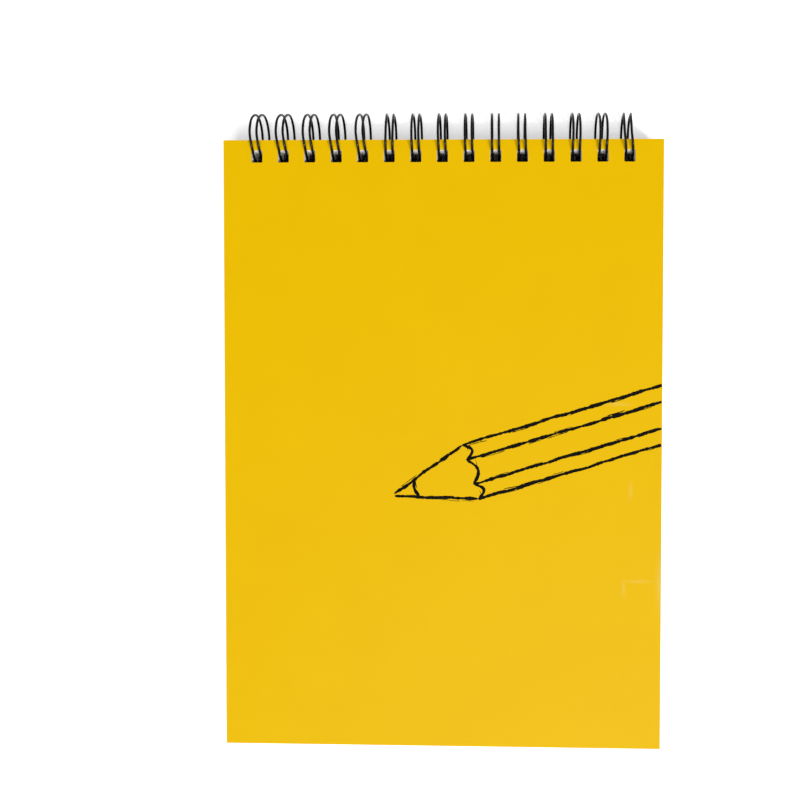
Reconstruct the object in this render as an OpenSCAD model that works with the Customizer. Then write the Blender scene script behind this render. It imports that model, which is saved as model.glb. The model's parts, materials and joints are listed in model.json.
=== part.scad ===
// Top-bound drawing pad lying on a table: a card cover, a block of sheets and a
// stiff board, held by one twin-loop binding wire. Millimetres, +Z up.

/* [Sheets] */
// Width of the covers and the sheets
sheet_w = 210; // [140:1:300]
// Height of the covers and the sheets, from the bound edge to the lower edge
sheet_h = 292; // [200:1:420]
// Number of drawing sheets
sheet_count = 66; // [30:2:80]
// Thickness of one drawing sheet
sheet_t = 0.2; // [0.1:0.01:0.22]
// Sheets in a bundle that shows as one step on the trimmed edges
bundle_sheets = 4; // [2:1:8]
// How far a bundle may sit back from the trimmed edge
bundle_setback = 0.12; // [0.05:0.01:0.3]

/* [Covers] */
// Thickness of the front cover's card
cover_t = 0.45; // [0.25:0.05:0.8]
// Thickness of the back board
board_t = 1.5; // [0.8:0.1:2.5]

/* [Punched holes] */
// Width of a hole, along the bound edge
hole_w = 5.3; // [5:0.1:6.5]
// Height of a hole
hole_h = 5.8; // [5.6:0.1:7.5]
// Corner radius of a hole
hole_r = 0.5; // [0.2:0.1:1]
// From the bound edge to the near side of the holes
hole_margin = 4.9; // [3.5:0.1:6]

/* [Binding wire] */
// Distance between neighbouring twin loops, two to the inch
pitch = 12.7; // [12:0.1:14]
// Diameter of the wire
wire_d = 1.2; // [0.8:0.1:1.3]
// Distance between the two wires of a twin loop, centre to centre
twin_gap = 3.3; // [2.6:0.1:3.5]
// Bend radius where a wire turns from its loop into the bar
bar_bend_r = 1.4; // [1:0.1:1.8]
// Least distance from the side edges to the middle of the end loops
end_margin = 16; // [10:0.5:20]
// Length of the cut wire beyond the end loops
stub = 2; // [0.5:0.5:4]

/* [Cover print] */
// Line width of the printed drawing
ink_w = 1.2; // [0.6:0.1:1.6]
// Thickness of the ink
ink_t = 0.06; // [0.04:0.01:0.1]
// Width of the drawn pencil's barrel
barrel_w = 27; // [18:1:34]
// Length of the drawn pencil's sharpened cone
cone_l = 38; // [26:1:50]
// From the pencil's point to the right edge of the cover
print_reach = 128; // [90:1:135]
// From the bound edge down to the pencil's point
print_drop = 170; // [140:1:200]
// Slope of the pencil across the cover, in degrees
print_slope = 17; // [8:1:22]

/* [Hidden] */
$fn = 48;

// Clearances
wire_play = 0.3;    // wire to the far side of the holes
edge_play = 0.25;   // wire to the near side of the holes
bar_play = 0.15;    // closing bars to the sheets and to the board
face_play = 0.05;   // block's lower edge above the board
tip_play = 0.15;    // loop tips to the bends beside them
tip_step = 0.02;    // a tip's wire to the wires that it joins
tip_leg = 0.2;      // straight wire at a tip, before and after its joints

// Space for the closing bars between the block and the board. Each wire has to
// turn out of the loop before it meets the side of the board's hole.
turn_share = min(1, (hole_w - twin_gap - wire_d) / 2 / bar_bend_r);
bar_flare = bar_bend_r * (1 - sqrt(1 - pow(1 - turn_share, 2)));
bar_room = wire_d + bar_flare + 2 * bar_play;

// Loop radii: inside, centre line and outside. The whole stack fits inside the
// loops, which pass through the holes with their play on either side.
block_t = sheet_count * sheet_t;
stack_t = board_t + bar_room + block_t + cover_t;
hole_spare = hole_h - wire_d - wire_play - edge_play;
loop_in = (pow(stack_t / 2, 2) + pow(hole_spare, 2)) / (2 * hole_spare);
loop_r = loop_in + wire_d / 2;
loop_out = loop_in + wire_d;

// The bound edge lies this far inside the loops' axis, so that the loops hang
// against the far side of the holes.
edge_back = loop_out + wire_play - hole_margin - hole_h;
hole_near = edge_back + hole_margin;
reach = edge_back + sheet_h;

// Heights of the faces below and above the loops' axis, measured square to them
board_low = stack_t / 2;
board_top = board_low - board_t;
block_low = board_top - bar_room;
cover_low = block_t - block_low;
cover_top = cover_low + cover_t;

// Angle at which a slab with one corner at this reach and height comes to rest
// on a plane that lies at this drop below the loops' axis
function rest_angle(reach, height, drop) =
    asin(drop / norm([reach, height])) - atan(height / reach);

board_tilt = rest_angle(reach, board_low, loop_out);
block_tilt = board_tilt + rest_angle(reach, block_low, board_top - face_play);

// The loops' axis in the part's frame, whose origin is under the middle
axis_y = (reach * cos(block_tilt) + cover_top * sin(block_tilt) - loop_out) / 2;
axis_z = loop_out;

// Loops along the bound edge
loop_count = floor((sheet_w - 2 * end_margin) / pitch) + 1;
loop_x = [for (i = [0 : loop_count - 1]) (i - (loop_count - 1) / 2) * pitch];

// Proportions of the drawn pencil
ridge_share = 0.45;  // ridges of the barrel, of its half width
lead_share = 0.3;    // bare lead, of the cone's length
scallop = -4;        // depth of the curves where the cone meets the barrel
hand_wobble = 0.25;  // unsteadiness of the hand

// Gap in each loop between its tip and the bends at its root, as an angle rounded
// up to a tenth of a degree
bend_span = twin_gap / 2 + bar_bend_r;
closing_gap = tip_leg + sqrt(pow(bend_span + wire_d + tip_play, 2) - pow(bend_span, 2));
closing_angle = ceil(20 * asin(closing_gap / 2 / loop_r)) / 10;

// Place of the bars on the loops, below the block and above the board
bar_height = block_low + bar_play + wire_d / 2;
bar_radius = norm([loop_r, bar_bend_r]);
bar_angle = 180 + block_tilt + asin(bar_height / bar_radius);
root_angle = bar_angle + atan(bar_bend_r / loop_r);

// Puts a flat piece, drawn level with z = 0 on the loops' axis, where it lies
module lie(tilt) {
    translate([0, axis_y, axis_z]) rotate([tilt, 0, 0]) children();
}

module hole_shape() {
    for (side = [-1, 1]) {
        translate([side * (hole_w / 2 - hole_r), 0]) {
            translate([0, hole_r]) circle(hole_r);
            translate([0, hole_h - hole_r]) circle(hole_r);
        }
    }
    translate([-hole_w / 2, hole_r]) square([hole_w, hole_h - 2 * hole_r]);
    translate([hole_r - hole_w / 2, 0]) square([hole_w - 2 * hole_r, hole_h]);
}

// The row of punched holes, from one height to another
module holes(low, high) {
    for (x = loop_x) {
        translate([x, -hole_near - hole_h, low]) linear_extrude(high - low) hole_shape();
    }
}

// A sheet or stack of sheets, whose side and lower edges may sit back a little
module slab(low, thick, setback = [0, 0, 0]) {
    translate([setback[0] - sheet_w / 2, setback[1] - reach, low]) {
        cube([sheet_w - setback[0] - setback[2], sheet_h - setback[1], thick]);
    }
}

module front_cover() {
    color("gold") lie(block_tilt) difference() {
        slab(cover_low, cover_t);
        holes(cover_low - 1, cover_top + 1);
    }
}

// Setback of one edge of a bundle: none on the outer bundles, and never the same twice
function setback(bundle, edge, last) =
    bundle == 0 || bundle == last ? 0
    : bundle_setback * (0.5 + 0.5 * sin(bundle * 137.5 + edge * 101));

module paper_block() {
    last = ceil(sheet_count / bundle_sheets) - 1;
    color("white") lie(block_tilt) translate([0, 0, -block_low]) difference() {
        union() {
            slab(0, block_t, [bundle_setback, bundle_setback, bundle_setback]);
            for (b = [0 : last]) {
                first_sheet = b * bundle_sheets;
                sheets = min(bundle_sheets, sheet_count - first_sheet);
                slab(first_sheet * sheet_t, sheets * sheet_t, [for (edge = [0 : 2]) setback(b, edge, last)]);
            }
        }
        holes(-1, block_t + 1);
    }
}

module back_board() {
    color("tan") lie(board_tilt) difference() {
        slab(-board_low, board_t);
        holes(-board_low - 1, 1 - board_top);
    }
}

// Part of a ring of wire about the Z axis, from the X axis onwards
module wire_arc(radius, angle) {
    rotate_extrude(angle = angle) translate([radius, 0]) circle(d = wire_d);
}

// A wire bent round the X axis, from its root on the Y axis to its tip
module open_loop() {
    rotate([90, 0, 90]) wire_arc(loop_r, 360 - closing_angle);
}

// Two wires side by side, joined at their tip and turned apart at their roots
module twin_loop() {
    for (side = [0, 1]) mirror([side, 0, 0]) {
        translate([twin_gap / 2, 0, 0]) open_loop();
        translate([bend_span, loop_r, 0]) rotate([90, 180, 0]) wire_arc(bar_bend_r, 90);
    }
    rotate([-closing_angle, 0, 0]) translate([0, loop_r, 0]) tip();
}

// The pinched tip that joins the two wires. It is a hair thinner than they are,
// and its straight legs seat inside their ends.
module tip() {
    tip_d = wire_d - tip_step;
    translate([0, 0, tip_leg]) rotate([90, 0, 0]) rotate_extrude(angle = 180)
        translate([twin_gap / 2, 0]) circle(d = tip_d);
    for (side = [-1, 1]) {
        translate([side * twin_gap / 2, 0, -tip_leg]) cylinder(h = 2 * tip_leg, d = tip_d);
    }
}

// Straight wire along X, at the height of the roots' bends
module bar(from, to) {
    translate([from, loop_r, -bar_bend_r]) rotate([0, 90, 0]) cylinder(h = to - from, d = wire_d);
}

module binding_wire() {
    first = loop_x[0] - bend_span;
    last = loop_x[loop_count - 1] + bend_span;
    color("black") lie(root_angle) {
        for (x = loop_x) translate([x, 0, 0]) twin_loop();
        for (i = [1 : loop_count - 1]) bar(loop_x[i - 1] + bend_span, loop_x[i] - bend_span);
        bar(first - stub, first);
        bar(last, last + stub);
    }
}

// Direction square to a row of points, at one of them
function square_to(points, i) =
    let (a = points[max(i - 1, 0)], b = points[min(i + 1, len(points) - 1)], d = b - a)
    [-d[1], d[0]] / norm(d);

// A drawn line of even width along some points
module ink_line(points) {
    last = len(points) - 1;
    polygon(concat([for (i = [0 : last]) points[i] + square_to(points, i) * ink_w / 2],
                   [for (i = [last : -1 : 0]) points[i] - square_to(points, i) * ink_w / 2]));
}

// Points of a line drawn by hand from one place to another, bowed and a little unsteady
function stroke(from, to, bow = 0, steps = 14) =
    let (d = to - from, across = [-d[1], d[0]] / norm(d))
    [for (i = [0 : steps]) let (t = i / steps)
        from + t * d + across * (bow * sin(180 * t) + hand_wobble * sin(1000 * t + 40 * from[1]))];

// A pencil with a six-sided barrel, of which three sides show. Its point is at the
// origin and its barrel lies along X.
module pencil_outline() {
    half = barrel_w / 2;
    ridge = half * ridge_share;
    lead = cone_l * lead_share;
    barrel_end = print_reach / cos(print_slope) + half;
    for (side = [-1, 1]) {
        ink_line(stroke([0, side * ink_w / 2], [cone_l, side * half]));
        ink_line(stroke([cone_l, side * half], [barrel_end, side * half], 0, 40));
        ink_line(stroke([cone_l, side * ridge], [barrel_end, side * ridge], 0, 40));
        ink_line(stroke([cone_l, side * ridge], [cone_l, side * half], side * scallop));
    }
    ink_line(stroke([cone_l, -ridge], [cone_l, ridge], scallop));
    ink_line(stroke([lead, -half * lead_share], [lead, half * lead_share], -scallop / 3));
}

// The part of the drawing that the cover holds: the pencil runs off its right edge
module pencil_drawing() {
    intersection() {
        translate([sheet_w / 2 - print_reach, -edge_back - print_drop])
            rotate(print_slope) pencil_outline();
        translate([-sheet_w / 2, -reach]) square([sheet_w, sheet_h]);
    }
}

module cover_print() {
    color("black") lie(block_tilt) translate([0, 0, cover_top]) linear_extrude(ink_t) pencil_drawing();
}

front_cover();
cover_print();
paper_block();
back_board();
binding_wire();
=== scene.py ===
import json
import math

import bpy
import numpy as np
from mathutils import Matrix, Vector
from mathutils.geometry import tessellate_polygon


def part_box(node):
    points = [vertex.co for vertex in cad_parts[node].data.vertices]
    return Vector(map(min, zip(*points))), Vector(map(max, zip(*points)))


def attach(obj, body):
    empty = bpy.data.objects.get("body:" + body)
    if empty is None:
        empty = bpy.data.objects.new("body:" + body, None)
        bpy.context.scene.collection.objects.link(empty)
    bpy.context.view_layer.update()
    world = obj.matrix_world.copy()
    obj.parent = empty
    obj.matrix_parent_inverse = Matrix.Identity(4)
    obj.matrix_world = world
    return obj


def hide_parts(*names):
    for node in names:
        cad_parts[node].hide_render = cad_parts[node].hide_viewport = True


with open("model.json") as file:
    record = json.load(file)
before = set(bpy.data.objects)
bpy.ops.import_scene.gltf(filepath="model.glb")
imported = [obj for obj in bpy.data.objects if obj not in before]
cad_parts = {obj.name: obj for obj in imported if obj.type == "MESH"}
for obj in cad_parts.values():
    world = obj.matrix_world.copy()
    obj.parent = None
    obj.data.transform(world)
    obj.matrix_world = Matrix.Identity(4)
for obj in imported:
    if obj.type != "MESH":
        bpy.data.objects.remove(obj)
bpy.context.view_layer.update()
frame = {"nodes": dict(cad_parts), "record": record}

mm = 0.001                          # shapes are worked out in millimetres, the frame is in metres
dice = np.random.default_rng(7)


def vec(*numbers):
    return np.array(numbers, dtype=float)


# Both hinges turn about the axis of the loops, and every flat piece leans about it as it lies
axisPlace = vec(*frame["record"]["behaviour"]["joints"][0]["pos_m"]) / mm

sheet = {
    "width": 210.0,
    "height": 292.0,
    "holeWide": 5.3,
    "holeHigh": 5.8,
    "holeRound": 0.5,
    "holeFromEdge": 4.9,
    "pitch": 12.7,                  # two twin loops to the inch
    "holes": 15,
    "coverThick": 0.45,
    "blockThick": 13.2,
}
holeCentres = (np.arange(sheet["holes"]) - (sheet["holes"] - 1) / 2) * sheet["pitch"]


# How a flat CAD piece lies: its lean, and its lower face and bound edge seen from the loops' axis.
# A slab of length L and thickness T that leans by t spans L cos t + T sin t along Y and
# L sin t + T cos t along Z, which gives sin t = (rise L - run T) / (L L - T T).
def slabPlace(node, thick):
    low, high = (np.array(corner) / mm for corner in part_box(node))
    length = sheet["height"]
    rise, run = high[2] - low[2], high[1] - low[1]
    lean = math.asin((rise * length - run * thick) / (length ** 2 - thick ** 2))
    y, z = vec(low[1] + thick * math.sin(lean), low[2]) - axisPlace[1:]
    alongY = y * math.cos(lean) + z * math.sin(lean)
    alongZ = z * math.cos(lean) - y * math.sin(lean)
    return {"lean": lean, "low": alongZ, "top": alongZ + thick, "edge": alongY + length}


# Turns points about X by the lean and carries them from the loops' axis into the frame
def lay(points, lean):
    turned = points @ np.array(Matrix.Rotation(lean, 3, "X")).T
    return (turned + axisPlace) * mm


coverAt = slabPlace("front_cover", sheet["coverThick"])
blockAt = slabPlace("paper_block", sheet["blockThick"])


# Faces come as arrays of corner numbers, one array for each number of corners
def addMesh(name, points, faceSets, smooth=False):
    corners = np.concatenate([faces.ravel() for faces in faceSets])
    sizes = np.concatenate([np.full(len(faces), faces.shape[1]) for faces in faceSets])
    mesh = bpy.data.meshes.new(name)
    mesh.vertices.add(len(points))
    mesh.vertices.foreach_set("co", points.ravel().astype(np.float32))
    mesh.loops.add(len(corners))
    mesh.loops.foreach_set("vertex_index", corners.astype(np.int32))
    mesh.polygons.add(len(sizes))
    mesh.polygons.foreach_set("loop_start", (np.cumsum(sizes) - sizes).astype(np.int32))
    mesh.polygons.foreach_set("use_smooth", np.full(len(sizes), smooth))
    mesh.update(calc_edges=True)
    mesh.validate()
    piece = bpy.data.objects.new(name, mesh)
    bpy.context.scene.collection.objects.link(piece)
    return piece


# Carries a profile along a path: point = path + across * sideways + up * upwards. The profile is
# rings by points by 2, so that it may change along the way, and the ends are closed.
def sweep(path, sideways, upwards, profile):
    rings, around = profile.shape[:2]
    points = path[:, None] + profile[:, :, :1] * sideways[:, None] + profile[:, :, 1:] * upwards[:, None]
    start = np.arange(rings - 1)[:, None] * around
    here = np.arange(around)[None]
    after = (here + 1) % around
    walls = np.stack([start + here, start + after, start + around + after, start + around + here], 2)
    ends = np.stack([here[0][::-1], here[0] + (rings - 1) * around])
    return points.reshape(-1, 3), walls.reshape(-1, 4), ends


def unit(rows):
    return rows / np.linalg.norm(rows, axis=1, keepdims=True)


# An sRGB hex colour as linear RGBA
def colour(hexText):
    parts = [int(hexText[i:i + 2], 16) / 255 for i in (0, 2, 4)]
    return [*(p / 12.92 if p <= 0.04045 else ((p + 0.055) / 1.055) ** 2.4 for p in parts), 1.0]


def grey(level):
    return [level, level, level, 1.0]


def newMaterial(name):
    material = bpy.data.materials.new(name)
    material.use_nodes = True
    material.node_tree.nodes.clear()
    return material, material.node_tree


# Adds a node. Settings are its properties or socket values and links are the sockets that feed it;
# in0 means the input with that number, and an underscore in a link's name stands for a space.
def addNode(tree, kind, settings=None, **links):
    node = tree.nodes.new(kind)
    for key, value in (settings or {}).items():
        if hasattr(node, key):
            setattr(node, key, value)
        else:
            node.inputs[int(key[2:]) if key.startswith("in") else key].default_value = value
    for key, source in links.items():
        tree.links.new(source, node.inputs[int(key[2:]) if key.startswith("in") else key.replace("_", " ")])
    return node


def addNoise(tree, place, size, detail):
    noise = addNode(tree, "ShaderNodeTexNoise", {"Scale": 1 / (size * mm), "Detail": detail}, Vector=place)
    return noise.outputs["Fac"]


# Bump from a height, as a strength and a depth in mm
def addBump(tree, height, strength, deep, **links):
    settings = {"Strength": strength, "Distance": deep * mm}
    return addNode(tree, "ShaderNodeBump", settings, Height=height, **links).outputs[0]


def addRamp(tree, source, low, lowColour, high, highColour):
    ramp = addNode(tree, "ShaderNodeValToRGB", in0=source)
    for element, place, value in zip(ramp.color_ramp.elements, (low, high), (lowColour, highColour)):
        element.position, element.color = place, value
    return ramp.outputs["Color"]


# Camera rays, and the glossy and transmission rays that show the same surroundings
def seenRays(tree):
    path = addNode(tree, "ShaderNodeLightPath")
    both = addNode(tree, "ShaderNodeMath", {"operation": "ADD"},
                   in0=path.outputs["Is Camera Ray"], in1=path.outputs["Is Glossy Ray"])
    every = addNode(tree, "ShaderNodeMath", {"operation": "ADD", "use_clamp": True},
                    in0=both.outputs[0], in1=path.outputs["Is Transmission Ray"])
    return every.outputs[0]


# A dull or glossy surface. gloss is its specular level and rough may be a number or a link.
def addSurface(tree, gloss, rough, **links):
    settings = {"Specular IOR Level": gloss}
    if isinstance(rough, float):
        settings["Roughness"] = rough
    else:
        links["Roughness"] = rough
    return addNode(tree, "ShaderNodeBsdfPrincipled", settings, **links)


def finishMaterial(material, tree, shader):
    addNode(tree, "ShaderNodeOutputMaterial", Surface=shader.outputs[0])
    return material


# A CAD node keeps its slots, which all take the new material
def dress(piece, material):
    slots = piece.data.materials
    if not len(slots):
        slots.append(material)
    for i in range(len(slots)):
        slots[i] = material


# The camera stands close above the pad and a little below the bound edge's middle, so that the
# upper walls of the holes show and the loops lean outwards. place and turn are the bound edge's
# middle and the cover as the camera sees them: x right, y down, z away.
camera = {
    "lensPixels": 1000.0,            # focal length, in pixels of the 800 pixel frame
    "centrePixel": (474.0, 347.0),   # where the lens points, in that frame
    "place": (-15.037, -98.715, 475.649),
    "turn": (0.028818, 0.030039, 0.002261),
    "framePixels": 800,
    "sensor": 36.0,
    "clipStart": 0.01,
}


def makeCamera():
    turn = vec(*camera["turn"])
    seen = np.array(Matrix.Rotation(np.linalg.norm(turn), 3, Vector(turn)))
    flip = np.diag([1.0, -1.0, -1.0])
    toLens = flip @ seen @ flip                    # from the cover's x right, y up, z out to the lens
    standing = vec(0, coverAt["edge"], coverAt["top"]) - toLens.T @ flip @ vec(*camera["place"])
    facing = np.array(Matrix.Rotation(coverAt["lean"], 3, "X")) @ toLens.T
    pixels = camera["framePixels"]
    data = bpy.data.cameras.new("photoCamera")
    data.sensor_width = camera["sensor"]
    data.lens = camera["sensor"] * camera["lensPixels"] / pixels
    data.shift_x = 0.5 - camera["centrePixel"][0] / pixels
    data.shift_y = camera["centrePixel"][1] / pixels - 0.5
    data.clip_start = camera["clipStart"]
    lens = bpy.data.objects.new("photoCamera", data)
    spot = lay(standing[None], coverAt["lean"])[0]
    lens.matrix_world = Matrix.Translation(spot) @ Matrix(facing).to_4x4()
    bpy.context.scene.collection.objects.link(lens)
    bpy.context.scene.camera = lens


makeCamera()
print("camera placed")


# White table, a lamp at the lower right, which draws the loops' shadows, and a large soft box below
# the camera, which reaches down into the holes
studio = {
    "tableWide": 8.0,
    "tableColour": "FAFAFA",
    "tableLift": 0.55,               # brings the shadows on the open table near white
    "ambient": 0.12,
    "seenWhite": 1.0,                # the air as the camera and reflections see it
    "away": 8.0,
    "lampTowards": (0.74, -0.68, 1.1),
    "lampWide": 0.86,
    "lampPower": 245.0,
    "softTowards": (0.1, -0.58, 1.0),
    "softWide": 4.6,
    "softPower": 490.0,
}


# The table is a ring of faces round the pad's own place, where nothing lifts the dark under it
def makeTable():
    plain, tree = newMaterial("whiteTable")
    paint = addNode(tree, "ShaderNodeBsdfDiffuse", {"Color": colour(studio["tableColour"])})
    finishMaterial(plain, tree, paint)
    lifted, tree = newMaterial("whiteTableOpen")
    paint = addNode(tree, "ShaderNodeBsdfDiffuse", {"Color": colour(studio["tableColour"])})
    glow = addNode(tree, "ShaderNodeEmission", {"Strength": studio["tableLift"]})
    both = addNode(tree, "ShaderNodeAddShader", in0=paint.outputs[0], in1=glow.outputs[0])
    shown = addNode(tree, "ShaderNodeMixShader",
                    Fac=seenRays(tree), in1=paint.outputs[0], in2=both.outputs[0])
    finishMaterial(lifted, tree, shown)

    low, high = (np.array(corner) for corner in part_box("back_board"))
    half = studio["tableWide"] / 2
    x, y = np.meshgrid([-half, low[0], high[0], half], [-half, low[1], high[1], half])
    points = np.stack([x, y, x * 0], 2).reshape(-1, 3)
    corner = (np.arange(3)[:, None] * 4 + np.arange(3)).ravel()     # of a grid of 3 by 3 faces
    table = addMesh("table", points, [np.stack([corner, corner + 1, corner + 5, corner + 4], 1)])
    table.data.materials.append(lifted)
    table.data.materials.append(plain)
    table.data.polygons.foreach_set("material_index", (np.arange(9) == 4).astype(np.int32))


def makeWorld():
    world = bpy.data.worlds.new("studioAir")
    world.use_nodes = True
    tree = world.node_tree
    tree.nodes.clear()
    dim = addNode(tree, "ShaderNodeBackground", {"Color": grey(1.0), "Strength": studio["ambient"]})
    white = addNode(tree, "ShaderNodeBackground", {"Color": grey(1.0), "Strength": studio["seenWhite"]})
    air = addNode(tree, "ShaderNodeMixShader", Fac=seenRays(tree), in1=dim.outputs[0], in2=white.outputs[0])
    addNode(tree, "ShaderNodeOutputWorld", Surface=air.outputs[0])
    bpy.context.scene.world = world


def addLamp(name, towards, wide, power):
    data = bpy.data.lights.new(name, "AREA")
    data.size = wide
    data.energy = power
    lamp = bpy.data.objects.new(name, data)
    heading = Vector(towards).normalized()
    lamp.location = heading * studio["away"]
    lamp.rotation_euler = heading.to_track_quat("Z", "Y").to_euler()
    bpy.context.scene.collection.objects.link(lamp)


makeTable()
makeWorld()
addLamp("deskLamp", studio["lampTowards"], studio["lampWide"], studio["lampPower"])
addLamp("softBox", studio["softTowards"], studio["softWide"], studio["softPower"])
bpy.context.scene.view_settings.view_transform = "Standard"
print("studio lit")


cover = {
    "yellow": "EDBE00",
    "yellowDeep": "EBBC00",
    "inside": "EDE6D2",
    "core": "EFE3B4",
    "fibre": 0.35,                   # grain of the board under the varnish, mm
    "cloud": 28.0,                   # uneven ink, mm
    "wave": 70.0,                    # slow waves of the sheet, mm
    "rough": (0.36, 0.46),
    "gloss": 0.05,
    "waveBump": (0.25, 0.6),
    "fibreBump": (0.12, 0.02),
    # Painted reflections: lighter patches on the varnish, middle from the bound edge's middle, and reach
    # each way, mm
    "rubs": [((90.1, -167.6), (1.8, 8.0)), ((87.1, -214.7), (1.8, 8.0)), ((94.5, -211.0), (11.0, 1.6)),
             ((103.9, -212.0), (2.6, 24.0)), ((84.0, -126.0), (11.0, 1.6))],
    "reflectionDeep": 10.0,                 # m, so far that only a painted reflection's place across the card counts
    "rubbed": "F3DC8C",
    "reflectionShare": 0.22,
}


# Coated solid board: offset printed yellow and varnished outside, with an even satin gloss and a trace of
# grain, and painted reflections as lighter patches. The inside is plain uncoated board and the cut edges are
# pale.
def coatedCard():
    material, tree = newMaterial("coatedCard")
    coords = addNode(tree, "ShaderNodeTexCoord")
    place = coords.outputs["Object"]
    grain = addNoise(tree, place, cover["fibre"], 4.0)
    printed = addRamp(tree, addNoise(tree, place, cover["cloud"], 3.0),
                      0.3, colour(cover["yellowDeep"]), 0.7, colour(cover["yellow"]))
    # Lighter patches mixed into the printed colour are painted reflections on the varnish
    for (x, y), (wide, high) in cover["rubs"]:
        # A painted reflection fades as (1 - distance) squared inside its stretched circle
        middle = (x * mm, (axisPlace[1] + coverAt["edge"] + y) * mm, 0)
        reach = (wide * mm, high * mm, cover["reflectionDeep"])
        near = addNode(tree, "ShaderNodeMapping",
                       {"vector_type": "TEXTURE", "Location": middle, "Scale": reach}, Vector=place)
        fade = addNode(tree, "ShaderNodeTexGradient",
                       {"gradient_type": "QUADRATIC_SPHERE"}, Vector=near.outputs[0])
        share = addNode(tree, "ShaderNodeMath", {"operation": "MULTIPLY", "in1": cover["reflectionShare"]},
                        in0=fade.outputs["Fac"])
        rubbed = addNode(tree, "ShaderNodeMix", {"data_type": "RGBA", "in7": colour(cover["rubbed"])},
                         in0=share.outputs[0], in6=printed)
        printed = rubbed.outputs[2]
    facing = addNode(tree, "ShaderNodeSeparateXYZ", in0=coords.outputs["Normal"]).outputs["Z"]
    outside = addNode(tree, "ShaderNodeMath", {"operation": "GREATER_THAN", "in1": 0.5}, in0=facing)
    inside = addNode(tree, "ShaderNodeMath", {"operation": "LESS_THAN", "in1": -0.5}, in0=facing)
    bare = addNode(tree, "ShaderNodeMix", {"data_type": "RGBA", "in6": colour(cover["core"]),
                                           "in7": colour(cover["inside"])}, in0=inside.outputs[0])
    base = addNode(tree, "ShaderNodeMix", {"data_type": "RGBA"},
                   in0=outside.outputs[0], in6=bare.outputs[2], in7=printed)
    smooth, dull = cover["rough"]
    rough = addRamp(tree, grain, 0.3, grey(smooth), 0.7, grey(dull))
    slow = addBump(tree, addNoise(tree, place, cover["wave"], 1.0), *cover["waveBump"])
    fine = addBump(tree, grain, *cover["fibreBump"], Normal=slow)
    shader = addSurface(tree, cover["gloss"], rough, Base_Color=base.outputs[2], Normal=fine)
    return finishMaterial(material, tree, shader)


board = {
    "grey": "9C978D",
    "dark": "7B766D",
    "fleck": "CFC9BC",
    "fibre": 1.1,                    # mm
    "cloud": 9.0,                    # mm
    "drawnOut": 0.35,                # stretches the fibres along the board
    "rough": 0.9,
    "gloss": 0.2,
    "bump": (0.5, 0.08),
}


# Greyboard pressed from mixed waste paper: dull and cloudy, with pale fibre flecks and a hairy face
def greyBoard():
    material, tree = newMaterial("greyBoard")
    place = addNode(tree, "ShaderNodeTexCoord").outputs["Object"]
    pulp = addRamp(tree, addNoise(tree, place, board["cloud"], 6.0),
                   0.35, colour(board["dark"]), 0.65, colour(board["grey"]))
    drawn = addNode(tree, "ShaderNodeMapping", {"Scale": (1.0, board["drawnOut"], 1.0)}, Vector=place)
    fibres = addNoise(tree, drawn.outputs[0], board["fibre"], 2.0)
    flecks = addRamp(tree, fibres, 0.66, grey(0.0), 0.72, grey(1.0))
    base = addNode(tree, "ShaderNodeMix", {"data_type": "RGBA", "in7": colour(board["fleck"])},
                   in0=flecks, in6=pulp)
    shader = addSurface(tree, board["gloss"], board["rough"],
                        Base_Color=base.outputs[2], Normal=addBump(tree, fibres, *board["bump"]))
    return finishMaterial(material, tree, shader)


# Both covers keep their CAD shape
dress(frame["nodes"]["front_cover"], coatedCard())
dress(frame["nodes"]["back_board"], greyBoard())
print("covers dressed")


block = {
    "sheets": 66,
    "thick": 0.2,
    "airGap": 0.012,                 # between one sheet and the next
    "slide": 0.05,                   # how far a sheet lies out of line
    "twist": 0.00018,                # radians
    "cornerSteps": 3,
    "white": "F8F7F3",
    "shade": "EEECE6",
    "tooth": 0.4,                    # mm
    "rough": 0.85,
    "gloss": 0.25,
    "bump": (0.3, 0.04),
}


# Uncoated drawing paper, guillotined: soft white and dull, with a light tooth. Each sheet's edge is
# a little lighter or darker than the next, through the piece's sheetTone attribute.
def drawingPaper():
    material, tree = newMaterial("drawingPaper")
    place = addNode(tree, "ShaderNodeTexCoord").outputs["Object"]
    tone = addNode(tree, "ShaderNodeAttribute", {"attribute_name": "sheetTone"})
    base = addRamp(tree, tone.outputs["Fac"], 0.0, colour(block["shade"]), 1.0, colour(block["white"]))
    bump = addBump(tree, addNoise(tree, place, block["tooth"], 5.0), *block["bump"])
    shader = addSurface(tree, block["gloss"], block["rough"], Base_Color=base, Normal=bump)
    return finishMaterial(material, tree, shader)


# A punched hole's outline round its middle: quarter circles about the four corners
def holeOutline():
    turn = np.linspace(0, math.pi / 2, block["cornerSteps"] + 1)
    reach = vec(sheet["holeWide"], sheet["holeHigh"]) / 2 - sheet["holeRound"]
    quarters = turn + np.arange(4)[:, None] * math.pi / 2
    signs = np.array([(1, 1), (-1, 1), (-1, -1), (1, -1)])
    arcs = np.stack([np.cos(quarters), np.sin(quarters)], 2) * sheet["holeRound"]
    return (arcs + (signs * reach)[:, None]).reshape(-1, 2)


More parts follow.
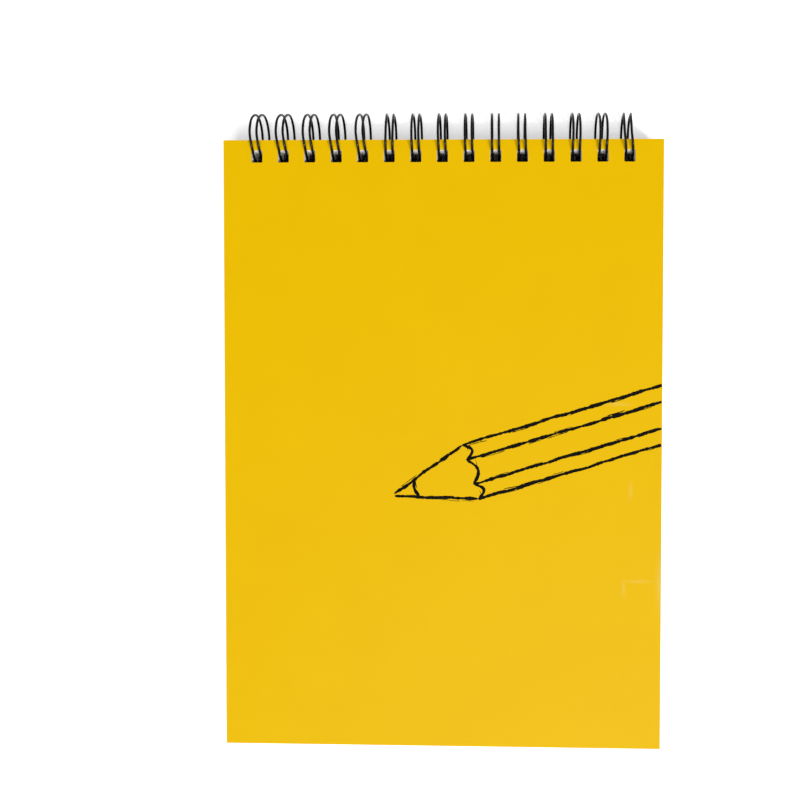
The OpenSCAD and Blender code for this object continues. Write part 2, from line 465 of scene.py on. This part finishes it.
# Every sheet is an outline with holes, at two heights, joined by walls, and slid and turned a hair:
# x = x0 - twist * y0 + slide, y = y0 + twist * x0 + slide. All the sheets are one array.
def makeSheets():
    wide, high = sheet["width"] / 2, sheet["height"]
    hole = holeOutline()[::-1]
    middle = -sheet["holeFromEdge"] - sheet["holeHigh"] / 2
    loops = [vec(-wide, 0, -wide, -high, wide, -high, wide, 0).reshape(4, 2)]
    loops += [hole + [x, middle] for x in holeCentres]
    flat = np.concatenate(loops)
    starts = np.cumsum([0] + [len(loop) for loop in loops[:-1]])
    here = np.arange(len(flat))
    ahead = np.concatenate([start + np.roll(np.arange(len(loop)), -1)
                            for start, loop in zip(starts, loops)])
    caps = np.array(tessellate_polygon([[Vector((*point, 0)) for point in loop] for loop in loops]))
    first, second = flat[caps[:, 1]] - flat[caps[:, 0]], flat[caps[:, 2]] - flat[caps[:, 0]]
    flipped = first[:, 0] * second[:, 1] < first[:, 1] * second[:, 0]
    caps[flipped] = caps[flipped][:, ::-1]
    walls = np.stack([here, ahead, ahead + len(flat), here + len(flat)], 1)

    count = block["sheets"]
    slide = dice.normal(0, block["slide"], (count, 1, 2))
    twist = dice.normal(0, block["twist"], (count, 1))
    x = flat[:, 0] - twist * flat[:, 1] + slide[:, :, 0]
    y = flat[:, 1] + twist * flat[:, 0] + slide[:, :, 1] + blockAt["edge"]
    under = blockAt["low"] + np.arange(count)[:, None] * block["thick"] + block["airGap"]
    over = under + block["thick"] - block["airGap"]
    points = np.stack([np.stack([x, y, x * 0 + level], 2) for level in (under, over)], 1).reshape(-1, 3)
    step = np.arange(count)[:, None, None] * 2 * len(flat)
    triangles = np.concatenate([caps[:, ::-1], caps + len(flat)])
    piece = addMesh("drawingSheets", lay(points, blockAt["lean"]),
                    [(triangles + step).reshape(-1, 3), (walls + step).reshape(-1, 4)])
    tones = dice.uniform(0, 1, count)
    tone = piece.data.attributes.new("sheetTone", "FLOAT", "FACE")
    tone.data.foreach_set("value", np.concatenate([np.repeat(tones, len(triangles)),
                                                   np.repeat(tones, len(walls))]).astype(np.float32))
    dress(piece, drawingPaper())
    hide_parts("paper_block")
    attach(piece, "block")


makeSheets()
print("sheets stacked")


wire = {
    "thick": 1.2,
    "twinGap": 3.3,
    "bend": 1.4,
    "barPlay": 0.15,
    "tipPlay": 0.15,
    "tipLeg": 0.2,
    "stub": 2.0,
    # How far each loop stands to the right, at its top and behind, mm. Behind it keeps to the play
    # in the holes of the opened cover and of the board, so that both swing free of it.
    "topLean": (-1.1, -1.3, -1.1, -1.2, -1.3, 0.3, -0.2, -0.35,
                -0.33, -0.25, -0.4, -0.18, 0.15, 0.15, -1.3),
    "backLean": (-0.3, -0.33, -0.33, -0.33, -0.33, -0.33, -0.33, -0.33,
                 -0.3, -0.25, -0.33, -0.28, 0, -0.33, -0.33),
    "holeShare": 0.12,               # share of the top's lean that the wire has inside the holes
    "toTop": (44.0, 104.0),          # degrees from the holes' middle, over the top
    "toBack": (125.0, 192.0),
    "toHoles": (262.0, 300.0),
    "sides": 14,
    "loopSteps": 72,
    "turnSteps": 8,
    "black": "020203",
    "rub": "080809",
    "peel": 0.9,                     # mm
    "rough": (0.06, 0.14),
    "gloss": 0.12,
    "bump": (0.1, 0.05),
}


# Steel wire with a fused nylon coat: deep black and glossy, with a faint orange peel that breaks
# the highlights up
def nylonWire():
    material, tree = newMaterial("nylonWire")
    place = addNode(tree, "ShaderNodeTexCoord").outputs["Object"]
    peel = addNoise(tree, place, wire["peel"], 2.0)
    tone = addRamp(tree, peel, 0.4, colour(wire["black"]), 0.8, colour(wire["rub"]))
    smooth, dull = wire["rough"]
    rough = addRamp(tree, peel, 0.3, grey(smooth), 0.8, grey(dull))
    bump = addBump(tree, peel, *wire["bump"])
    shader = addSurface(tree, wire["gloss"], rough, Base_Color=tone, Normal=bump)
    return finishMaterial(material, tree, shader)


# Smoothstep: 3 t t - 2 t t t, where t goes from 0 at low to 1 at high
def ease(values, low, high):
    share = np.clip((values - low) / (high - low), 0, 1)
    return share ** 2 * (3 - 2 * share)


# One wire runs through every loop, tip, bend and bar. A loop of radius R is (x, R cos a, R sin a) in
# the roots' frame, and the radial direction (0, cos a, sin a) is square to the wire everywhere, so
# it carries the round section.
def makeWire():
    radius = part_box("binding_wire")[1][2] / mm - axisPlace[2] - wire["thick"] / 2
    halfTwin, bend, leg = wire["twinGap"] / 2, wire["bend"], wire["tipLeg"]
    span = halfTwin + bend
    gap = leg + math.sqrt((span + wire["thick"] + wire["tipPlay"]) ** 2 - span ** 2)
    # Twice the half gap's angle, rounded up to a tenth of a degree
    closing = math.radians(math.ceil(20 * math.degrees(math.asin(gap / 2 / radius))) / 10)
    barDrop = wire["barPlay"] + wire["thick"] / 2 - blockAt["low"]
    barAngle = math.pi + blockAt["lean"] + math.asin(barDrop / math.hypot(radius, bend))
    rootAngle = barAngle + math.atan(bend / radius)

    # Left half of a twin: x, rise along the wire, angle round the loop
    quarter = np.linspace(-math.pi / 2, 0, wire["turnSteps"] + 1)
    root = np.stack([bend * np.cos(quarter) - span, bend * np.sin(quarter), quarter * 0], 1)
    around = np.linspace(0, 2 * math.pi - closing, wire["loopSteps"] + 1)[1:]
    loop = np.stack([around * 0 - halfTwin, around * 0, around], 1)
    half = np.linspace(math.pi, math.pi / 2, wire["turnSteps"] + 1)
    tip = np.stack([halfTwin * np.cos(half), leg + halfTwin * np.sin(half), half * 0 - closing], 1)
    left = np.concatenate([root, loop, tip])
    x, rise, angle = np.concatenate([left, left[-2::-1] * [-1, 1, 1]]).T

    # Each loop was closed a little askew: x eases from the holes' share to topLean, then to backLean
    # and home, each time by smoothstep(angle from the holes over the top)
    radial = np.stack([angle * 0, np.cos(angle), np.sin(angle)], 1)
    along = np.stack([angle * 0, -np.sin(angle), np.cos(angle)], 1)
    turn = np.array(Matrix.Rotation(rootAngle, 3, "X")).T
    path, radial = (radial * radius + along * rise[:, None]) @ turn, radial @ turn
    angles = (180 - np.degrees(np.arctan2(path[:, 2], path[:, 1]))) % 360
    rise, fall, home = (ease(angles, *wire[name]) for name in ("toTop", "toBack", "toHoles"))
    top, back = (vec(*wire[name])[:, None] for name in ("topLean", "backLean"))
    held = top * wire["holeShare"]
    askew = held + (top - held) * rise * (1 - fall) + (back - held) * fall * (1 - home)
    path, radial = np.tile(path, (len(holeCentres), 1, 1)), np.tile(radial, (len(holeCentres), 1))
    path[:, :, 0] = x + holeCentres[:, None] + askew

    path = path.reshape(-1, 3)
    stub = vec(wire["stub"], 0, 0)
    path = np.concatenate([path[:1] - stub, path, path[-1:] + stub])
    radial = np.concatenate([radial[:1], radial, radial[-1:]])
    heading = unit(np.gradient(path, axis=0))
    radial = unit(radial - heading * np.sum(radial * heading, 1, keepdims=True))
    ring = np.linspace(0, 2 * math.pi, wire["sides"], endpoint=False)
    section = np.stack([np.cos(ring), np.sin(ring)], 1) * wire["thick"] / 2
    points, walls, ends = sweep(path, radial, np.cross(heading, radial), np.tile(section, (len(path), 1, 1)))
    piece = addMesh("twinLoopWire", (points + axisPlace) * mm, [walls, ends], smooth=True)
    dress(piece, nylonWire())
    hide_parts("binding_wire")
    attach(piece, "block")


makeWire()
print("wire bent")


# A pencil drawn in ink with a few quick strokes, which runs off the cover's right edge
drawing = {
    "line": 1.45,
    "thick": 0.03,
    "layers": 80,                    # strokes until the ink's height has doubled
    "barrel": 27.0,
    "cone": 38.0,
    "point": 0.4,                    # half width of the pencil's point
    "reach": 128.0,                  # from the point to the cover's right edge
    "drop": 170.0,                   # from the bound edge to the point
    "slope": 17.0,                   # degrees
    "ridge": 0.45,                   # of the barrel's half width
    "lead": 0.3,                     # of the cone's length
    "scallop": 4.0,
    "step": 0.3,
    "fewestSteps": 6,
    "wander": ((9.0, 0.16), (3.0, 0.06)),      # length of the waves and how far they go
    "swell": ((3.0, 0.14), (0.7, 0.13)),       # and for the line's width, as a share of it
    "thinnest": 0.45,
    "widest": 1.5,
    "taper": 0.7,
    "blunt": 0.25,                   # width at a line's end, as a share of it
    "dry": (0.14, 0.34),             # width of the dry strokes beside a line
    "dryStart": (0.02, 0.9),         # share of the line at which one begins
    "dryEnd": 0.98,                  # and by which it has ended
    "dryLong": (3, 12),
    "dryShortest": 2,
    "dryAside": (0.2, 1.3),          # from the line's edge, in widths of the dry stroke
    "dryEvery": 13.0,
    "inset": 0.15,                   # from the cover's edge to a line's end
    "fewestLeft": 4,                 # steps of a stroke that are worth printing
    "black": "030302",
    "worn": "120E05",
    "grain": 0.25,                   # mm
    "rough": 0.65,
    "gloss": 0.05,
}


# Offset printing ink: matt black over the varnished card, a little uneven where the pen was dry
def printInk():
    material, tree = newMaterial("printInk")
    place = addNode(tree, "ShaderNodeTexCoord").outputs["Object"]
    tone = addRamp(tree, addNoise(tree, place, drawing["grain"], 3.0),
                   0.45, colour(drawing["black"]), 0.8, colour(drawing["worn"]))
    shader = addSurface(tree, drawing["gloss"], drawing["rough"], Base_Color=tone)
    return finishMaterial(material, tree, shader)


# A smooth random wander: a value every pitch mm, joined by half a cosine wave
def unsteady(steps, length, pitch, size):
    knots = dice.normal(0, size, int(length / pitch) + 3)
    place = np.linspace(0, length / pitch, steps)
    low = place.astype(int)
    share = (1 - np.cos((place - low) * math.pi)) / 2
    return knots[low] * (1 - share) + knots[low + 1] * share


# One drawn line from start to end: bowed by half a sine wave and unsteady, swelling and thinning
def penStroke(start, end, bow, line):
    start, end = vec(*start), vec(*end)
    length = math.dist(start, end)
    steps = max(int(length / drawing["step"]), drawing["fewestSteps"])
    share = np.linspace(0, 1, steps)
    across = vec(start[1] - end[1], end[0] - start[0]) / length
    wander, swell = (sum(unsteady(steps, length, *wave) for wave in drawing[name])
                     for name in ("wander", "swell"))
    aside = bow * np.sin(math.pi * share) + wander
    middle = start + share[:, None] * (end - start) + across * aside[:, None]
    ends = np.clip(np.minimum(share, 1 - share) * length / drawing["taper"], drawing["blunt"], 1)
    return middle, line * np.clip(1 + swell, drawing["thinnest"], drawing["widest"]) * ends


# The pencil's lines, with its point at the origin and its barrel along X. Each is drawn firmly, and
# dry strokes run beside it here and there.
def pencilStrokes():
    half = drawing["barrel"] / 2
    cone, bow = drawing["cone"], drawing["scallop"]
    ridge, lead = half * drawing["ridge"], cone * drawing["lead"]
    far = drawing["reach"] / math.cos(math.radians(drawing["slope"])) + half
    lines = [((cone, -ridge), (cone, ridge), -bow),
             ((lead, -half * drawing["lead"]), (lead, half * drawing["lead"]), bow / 3)]
    for side in (-1, 1):
        lines.append(((0, side * drawing["point"]), (cone, side * half), 0.0))
        lines.append(((cone, side * half), (far, side * half), 0.0))
        lines.append(((cone, side * ridge), (far, side * ridge), 0.0))
        lines.append(((cone, side * ridge), (cone, side * half), -side * bow))
    strokes = []
    for start, end, bow in lines:
        strokes.append(penStroke(start, end, bow, drawing["line"]))
        length = math.dist(start, end)
        start, end = vec(*start), vec(*end)
        across = vec(start[1] - end[1], end[0] - start[0]) / length
        for _ in range(1 + int(length / drawing["dryEvery"])):
            share = dice.uniform(*drawing["dryStart"])
            last = min(share + dice.uniform(*drawing["dryLong"]) / length, drawing["dryEnd"])
            if (last - share) * length < drawing["dryShortest"]:
                continue
            width = dice.uniform(*drawing["dry"])
            side = dice.choice([-1, 1])
            shift = side * (drawing["line"] / 2 + width * dice.uniform(*drawing["dryAside"]))
            lift = across * (shift + bow * math.sin(math.pi * (share + last) / 2))
            first, second = (start + part * (end - start) + lift for part in (share, last))
            strokes.append(penStroke(first, second, 0.0, width))
    return strokes


# Each stroke is a ribbon of ink, a flat rectangle carried along the line, cut at the cover's edge
def makePrint():
    slope = math.radians(drawing["slope"])
    turn = np.array([[math.cos(slope), math.sin(slope)], [-math.sin(slope), math.cos(slope)]])
    right = sheet["width"] / 2
    place = vec(right - drawing["reach"], coverAt["edge"] - drawing["drop"])
    rectangle = np.array([[0.5, 0.0], [0.5, 1.0], [-0.5, 1.0], [-0.5, 0.0]])
    parts, used = [], 0
    for layer, (middle, width) in enumerate(pencilStrokes()):
        middle = middle @ turn + place
        inside = middle[:, 0] < right - drawing["inset"]
        if inside.sum() < drawing["fewestLeft"]:
            continue
        path = np.column_stack([middle, np.full(len(middle), coverAt["top"])])[inside]
        # Each stroke is a little higher than the last, so that no two faces share a height
        thick = np.full(len(path), drawing["thick"] * (1 + layer / drawing["layers"]))
        heading = unit(np.gradient(path, axis=0))
        up = np.tile(vec(0, 0, 1), (len(path), 1))
        profile = rectangle * np.stack([width[inside], thick], 1)[:, None]
        points, walls, ends = sweep(path, np.cross(heading, up), up, profile)
        points[:, 0] = np.minimum(points[:, 0], right)
        parts.append((points, walls + used, ends + used))
        used += len(points)
    points, walls, ends = (np.concatenate(arrays) for arrays in zip(*parts))
    piece = addMesh("inkDrawing", lay(points, coverAt["lean"]), [walls, ends])
    dress(piece, printInk())
    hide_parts("cover_print")
    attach(piece, "front")


makePrint()
print("cover printed")
